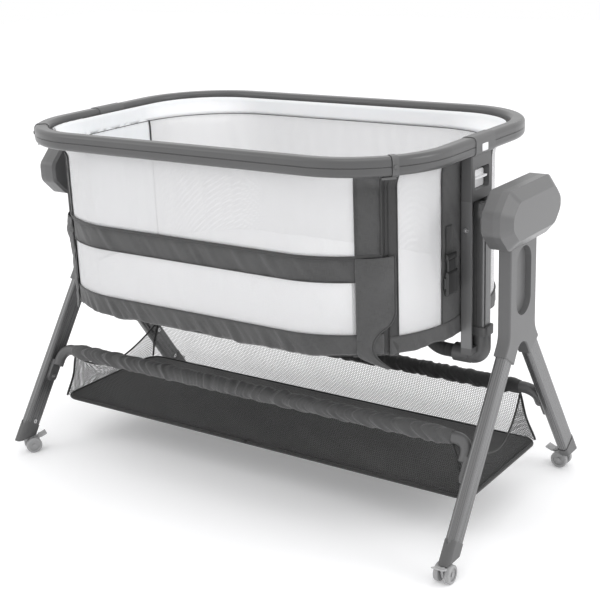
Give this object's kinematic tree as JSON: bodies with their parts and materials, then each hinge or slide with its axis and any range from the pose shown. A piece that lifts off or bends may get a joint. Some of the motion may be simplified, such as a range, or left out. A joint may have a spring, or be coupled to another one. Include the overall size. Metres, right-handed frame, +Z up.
{
  "type": "bassinet on stand",
  "caption": "Bedside bassinet with a padded rim, mesh walls and a folding side, sliding on a wheeled stand with a cloth storage basket.",
  "frame": {"origin": "on the floor under the middle of the bed", "axes": "+X along the bed to its right end, -Y towards the side that drops, +Z up"},
  "size_m": [1.076, 0.586, 0.7017],
  "materials": {
    "rim_plastic": "satin",
    "trim_plastic": "satin",
    "screw_steel": "bright zinc",
    "column_aluminium": "charcoal anodised",
    "white_plastic": "gloss",
    "bed_tube_cover": "woven sleeve",
    "deck": "matte",
    "mattress_cover": "soft white",
    "charcoal_fabric": "heathered weave",
    "yoke_plastic": "fine satin",
    "head_plastic": "fine satin",
    "leg_aluminium": "charcoal anodised",
    "bar_steel": "powder coat",
    "basket_fabric": "black oxford cloth",
    "basket_mesh": "open mesh",
    "wheel_plastic": "light grey",
    "caster_plastic": "light grey"
  },
  "bodies": {
    "stand": {"basket_board": "basket_fabric", "basket_end_left": "basket_mesh", "basket_end_right": "basket_mesh", "basket_sleeve_front": "basket_fabric", "basket_sleeve_rear": "basket_fabric", "basket_wall_front": "basket_mesh", "basket_wall_rear": "basket_mesh", "crossbar_front": "bar_steel", "crossbar_rear": "bar_steel", "foot_caps": "yoke_plastic", "frame_screws": "screw_steel", "head_inner_left": "head_plastic", "head_inner_right": "head_plastic", "head_outer_left": "head_plastic", "head_outer_right": "head_plastic", "leg_front_left": "leg_aluminium", "leg_front_right": "leg_aluminium", "leg_rear_left": "leg_aluminium", "leg_rear_right": "leg_aluminium", "yoke_left": "yoke_plastic", "yoke_right": "yoke_plastic"},
    "slider": {"slider_left": "trim_plastic"},
    "cradle": {"bed_tube": "bed_tube_cover", "column_foot_left": "trim_plastic", "column_foot_right": "trim_plastic", "column_heads": "trim_plastic", "column_left": "column_aluminium", "column_right": "column_aluminium", "column_screws": "screw_steel", "deck_board": "deck", "end_connectors": "trim_plastic", "end_wall_left": "charcoal_fabric", "end_wall_right": "charcoal_fabric", "front_wall": "charcoal_fabric", "guide_rails": "column_aluminium", "mattress": "mattress_cover", "rail_sockets": "trim_plastic", "rear_wall": "charcoal_fabric", "rim_front_corners": "rim_plastic", "rim_rear": "rim_plastic"},
    "drop_side": {"drop_rail": "rim_plastic", "drop_panel": "charcoal_fabric", "fold_piping": "charcoal_fabric"},
    "release_left": {"release_handle_left": "white_plastic"},
    "latch_left": {"latch_button_left": "trim_plastic"},
    "release_right": {"release_handle_right": "white_plastic"},
    "latch_right": {"latch_button_right": "trim_plastic"},
    "swivel_front_right": {"caster_front_right": "caster_plastic"},
    "wheel_pair_front_right": {"wheels_front_right": "wheel_plastic"},
    "pedal_front_right": {"brake_front_right": "caster_plastic"},
    "swivel_front_left": {"caster_front_left": "caster_plastic"},
    "wheel_pair_front_left": {"wheels_front_left": "wheel_plastic"},
    "pedal_front_left": {"brake_front_left": "caster_plastic"},
    "swivel_rear_right": {"caster_rear_right": "caster_plastic"},
    "wheel_pair_rear_right": {"wheels_rear_right": "wheel_plastic"},
    "pedal_rear_right": {"brake_rear_right": "caster_plastic"},
    "swivel_rear_left": {"caster_rear_left": "caster_plastic"},
    "wheel_pair_rear_left": {"wheels_rear_left": "wheel_plastic"},
    "pedal_rear_left": {"brake_rear_left": "caster_plastic"}
  },
  "joints": [
    {"name": "lean", "type": "hinge", "parent": "stand", "child": "slider", "pos_m": [-0.468, 0, 0.553], "axis": [0, -1, 0], "range_deg": [0, 3]},
    {"name": "bed_height", "type": "slide", "parent": "slider", "child": "cradle", "axis": [0, 0, 1], "range_m": [0, 0.15]},
    {"name": "drop_side_fold", "type": "hinge", "parent": "cradle", "child": "drop_side", "pos_m": [0, -0.2678, 0.527], "axis": [1, 0, 0], "range_deg": [0, 155]},
    {"name": "release_lift_left", "type": "slide", "parent": "cradle", "child": "release_left", "axis": [0, 0, 1], "range_m": [0, 0.006], "stiffness_N_per_m": 400, "springref_m": -0.003},
    {"name": "latch_press_left", "type": "slide", "parent": "cradle", "child": "latch_left", "axis": [0.766, 0.6428, 0], "range_m": [0, 0.0015], "stiffness_N_per_m": 400, "springref_m": -0.001},
    {"name": "release_lift_right", "type": "slide", "parent": "cradle", "child": "release_right", "axis": [0, 0, 1], "range_m": [0, 0.006], "stiffness_N_per_m": 400, "springref_m": -0.003},
    {"name": "latch_press_right", "type": "slide", "parent": "cradle", "child": "latch_right", "axis": [-0.766, 0.6428, 0], "range_m": [0, 0.0015], "stiffness_N_per_m": 400, "springref_m": -0.001},
    {"name": "swivel_turn_front_right", "type": "hinge", "parent": "stand", "child": "swivel_front_right", "pos_m": [0.5025, -0.249, 0.033], "axis": [0, 0, 1], "continuous": true},
    {"name": "wheel_spin_front_right", "type": "hinge", "parent": "swivel_front_right", "child": "wheel_pair_front_right", "pos_m": [0.5025, -0.263, 0.0165], "axis": [-1, 0, 0], "continuous": true},
    {"name": "pedal_press_front_right", "type": "hinge", "parent": "swivel_front_right", "child": "pedal_front_right", "pos_m": [0.5025, -0.275, 0.0295], "axis": [1, 0, 0], "range_deg": [0, 18]},
    {"name": "swivel_turn_front_left", "type": "hinge", "parent": "stand", "child": "swivel_front_left", "pos_m": [-0.5025, -0.249, 0.033], "axis": [0, 0, 1], "continuous": true},
    {"name": "wheel_spin_front_left", "type": "hinge", "parent": "swivel_front_left", "child": "wheel_pair_front_left", "pos_m": [-0.49508, -0.23713, 0.0165], "axis": [0.848, -0.5299, 0], "continuous": true},
    {"name": "pedal_press_front_left", "type": "hinge", "parent": "swivel_front_left", "child": "pedal_front_left", "pos_m": [-0.48872, -0.22695, 0.0295], "axis": [-0.848, 0.5299, 0], "range_deg": [0, 18]},
    {"name": "swivel_turn_rear_right", "type": "hinge", "parent": "stand", "child": "swivel_rear_right", "pos_m": [0.5025, 0.249, 0.033], "axis": [0, 0, 1], "continuous": true},
    {"name": "wheel_spin_rear_right", "type": "hinge", "parent": "swivel_rear_right", "child": "wheel_pair_rear_right", "pos_m": [0.4885, 0.249, 0.0165], "axis": [0, 1, 0], "continuous": true},
    {"name": "pedal_press_rear_right", "type": "hinge", "parent": "swivel_rear_right", "child": "pedal_rear_right", "pos_m": [0.4765, 0.249, 0.0295], "axis": [0, -1, 0], "range_deg": [0, 18]},
    {"name": "swivel_turn_rear_left", "type": "hinge", "parent": "stand", "child": "swivel_rear_left", "pos_m": [-0.5025, 0.249, 0.033], "axis": [0, 0, 1], "continuous": true},
    {"name": "wheel_spin_rear_left", "type": "hinge", "parent": "swivel_rear_left", "child": "wheel_pair_rear_left", "pos_m": [-0.5095, 0.26112, 0.0165], "axis": [0.866, 0.5, 0], "continuous": true},
    {"name": "pedal_press_rear_left", "type": "hinge", "parent": "swivel_rear_left", "child": "pedal_rear_left", "pos_m": [-0.5155, 0.27152, 0.0295], "axis": [-0.866, -0.5, 0], "range_deg": [0, 18]}
  ]
}
